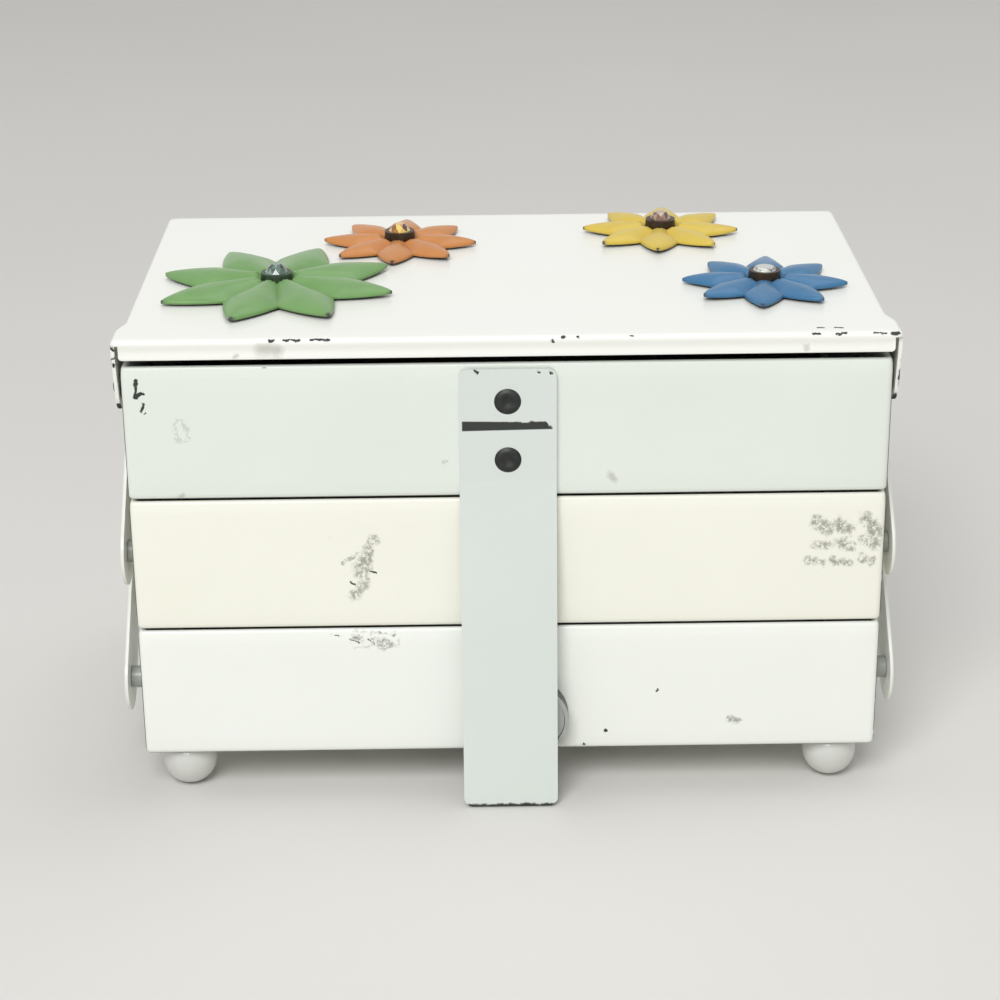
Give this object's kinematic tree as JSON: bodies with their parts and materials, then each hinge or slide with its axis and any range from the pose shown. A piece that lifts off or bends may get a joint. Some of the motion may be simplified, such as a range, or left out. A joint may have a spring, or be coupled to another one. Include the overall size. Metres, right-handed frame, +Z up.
{
  "type": "accordion jewelry box",
  "caption": "Small enamelled steel jewelry box: stacked trays on swinging side arms, a hinged lid with flowers, a riveted support leg and a magnet catch.",
  "frame": {"origin": "on the floor, in the middle of the outline of the closed box with its leg", "axes": "+X along the box's length, +Y from the side with the leg to the back, +Z up"},
  "size_m": [0.1748, 0.1058, 0.1142],
  "materials": {
    "white_enamel": "gloss",
    "green_enamel": "satin",
    "orange_enamel": "satin",
    "yellow_enamel": "satin",
    "blue_enamel": "satin",
    "dark_steel": "aged",
    "magnet_cup_steel": "plated",
    "ferrite": "matte",
    "white_foot_plastic": "gloss",
    "lining_felt": "felt",
    "aged_bronze": "aged",
    "green_jewel_glass": "faceted",
    "orange_jewel_glass": "faceted",
    "yellow_jewel_glass": "faceted",
    "blue_jewel_glass": "faceted"
  },
  "bodies": {
    "base": {"bottom_tray": "white_enamel", "bottom_lining": "lining_felt", "feet": "white_foot_plastic", "foot_screws": "dark_steel", "bottom_pivot_rivets": "dark_steel", "bottom_spacers": "dark_steel", "magnet_cup": "magnet_cup_steel", "catch_magnet": "ferrite", "magnet_rivet": "dark_steel"},
    "middle": {"middle_tray": "white_enamel", "middle_lining": "lining_felt", "middle_rivets_lower_arms": "dark_steel", "middle_spacers_lower_arms": "dark_steel", "middle_rivets_upper_arms": "dark_steel", "middle_spacers_upper_arms": "dark_steel"},
    "top": {"top_tray": "white_enamel", "top_lining": "lining_felt", "top_pivot_rivets": "dark_steel", "top_spacers": "dark_steel", "support_leg": "white_enamel", "leg_rivets": "dark_steel", "lid_pivot_rivets": "dark_steel"},
    "lid": {"lid": "white_enamel", "green_flower": "green_enamel", "orange_flower": "orange_enamel", "yellow_flower": "yellow_enamel", "blue_flower": "blue_enamel", "jewel_settings": "aged_bronze", "post_caps": "dark_steel", "green_jewel": "green_jewel_glass", "orange_jewel": "orange_jewel_glass", "yellow_jewel": "yellow_jewel_glass", "blue_jewel": "blue_jewel_glass"},
    "lower_arm_left_front": {"lower_arm_left_front": "white_enamel"},
    "lower_arm_left_rear": {"lower_arm_left_rear": "white_enamel"},
    "lower_arm_right_front": {"lower_arm_right_front": "white_enamel"},
    "lower_arm_right_rear": {"lower_arm_right_rear": "white_enamel"},
    "upper_arm_left_front": {"upper_arm_left_front": "white_enamel"},
    "upper_arm_left_rear": {"upper_arm_left_rear": "white_enamel"},
    "upper_arm_right_front": {"upper_arm_right_front": "white_enamel"},
    "upper_arm_right_rear": {"upper_arm_right_rear": "white_enamel"}
  },
  "joints": [
    {"name": "lower_arms_swing", "type": "hinge", "parent": "base", "child": "lower_arm_left_front", "pos_m": [-0.086, -0.03569, 0.0255], "axis": [1, 0, 0], "range_deg": [0, 90]},
    {"name": "lower_arm_left_rear_pivot", "type": "hinge", "parent": "base", "child": "lower_arm_left_rear", "pos_m": [-0.086, 0.01081, 0.0255], "axis": [1, 0, 0], "range_deg": [0, 90]},
    {"name": "lower_arm_right_front_pivot", "type": "hinge", "parent": "base", "child": "lower_arm_right_front", "pos_m": [0.086, -0.03569, 0.0255], "axis": [1, 0, 0], "range_deg": [0, 90]},
    {"name": "lower_arm_right_rear_pivot", "type": "hinge", "parent": "base", "child": "lower_arm_right_rear", "pos_m": [0.086, 0.01081, 0.0255], "axis": [1, 0, 0], "range_deg": [0, 90]},
    {"name": "middle_tray_level", "type": "hinge", "parent": "lower_arm_left_front", "child": "middle", "pos_m": [-0.086, -0.00469, 0.0564], "axis": [1, 0, 0], "range_deg": [-90, 0]},
    {"name": "upper_arms_swing", "type": "hinge", "parent": "middle", "child": "upper_arm_left_front", "pos_m": [-0.0849, -0.03569, 0.0564], "axis": [1, 0, 0], "range_deg": [0, 90]},
    {"name": "upper_arm_left_rear_pivot", "type": "hinge", "parent": "middle", "child": "upper_arm_left_rear", "pos_m": [-0.0849, 0.01081, 0.0564], "axis": [1, 0, 0], "range_deg": [0, 90]},
    {"name": "upper_arm_right_front_pivot", "type": "hinge", "parent": "middle", "child": "upper_arm_right_front", "pos_m": [0.0849, -0.03569, 0.0564], "axis": [1, 0, 0], "range_deg": [0, 90]},
    {"name": "upper_arm_right_rear_pivot", "type": "hinge", "parent": "middle", "child": "upper_arm_right_rear", "pos_m": [0.0849, 0.01081, 0.0564], "axis": [1, 0, 0], "range_deg": [0, 90]},
    {"name": "top_tray_level", "type": "hinge", "parent": "upper_arm_left_front", "child": "top", "pos_m": [-0.0849, -0.00469, 0.0873], "axis": [1, 0, 0], "range_deg": [-90, 0]},
    {"name": "lid_hinge", "type": "hinge", "parent": "top", "child": "lid", "pos_m": [0, -0.03749, 0.096], "axis": [1, 0, 0], "range_deg": [0, 85]}
  ],
  "couplings": [
    {"joint": "lower_arm_left_rear_pivot", "follows": "lower_arms_swing", "ratio": 1},
    {"joint": "lower_arm_right_front_pivot", "follows": "lower_arms_swing", "ratio": 1},
    {"joint": "lower_arm_right_rear_pivot", "follows": "lower_arms_swing", "ratio": 1},
    {"joint": "middle_tray_level", "follows": "lower_arms_swing", "ratio": -1},
    {"joint": "upper_arm_left_rear_pivot", "follows": "upper_arms_swing", "ratio": 1},
    {"joint": "upper_arm_right_front_pivot", "follows": "upper_arms_swing", "ratio": 1},
    {"joint": "upper_arm_right_rear_pivot", "follows": "upper_arms_swing", "ratio": 1},
    {"joint": "top_tray_level", "follows": "upper_arms_swing", "ratio": -1}
  ]
}
